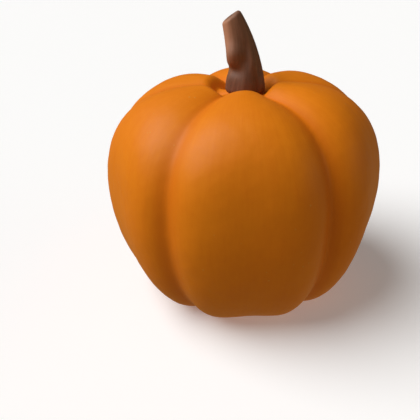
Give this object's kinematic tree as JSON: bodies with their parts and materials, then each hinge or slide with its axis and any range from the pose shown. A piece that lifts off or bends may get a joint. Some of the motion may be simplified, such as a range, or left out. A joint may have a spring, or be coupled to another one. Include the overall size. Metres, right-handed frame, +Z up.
{
  "type": "pumpkin",
  "caption": "Whole round orange pumpkin with broad flat-fronted ribs, a pit on top and a short cut woody stem, standing upright on its own underside.",
  "frame": {"origin": "on the surface the pumpkin stands on, under the upright axis of the fruit, which is also the middle of its outline seen from above", "axes": "+Z up along the fruit's axis, out of the stem end; -Y is the front, with a lobe facing it; the stem leans towards -X"},
  "size_m": [0.2575, 0.2512, 0.264],
  "materials": {
    "rind": "satin",
    "bark": "matte"
  },
  "bodies": {
    "root": {"fruit": "rind", "stem": "bark"}
  },
  "joints": []
}
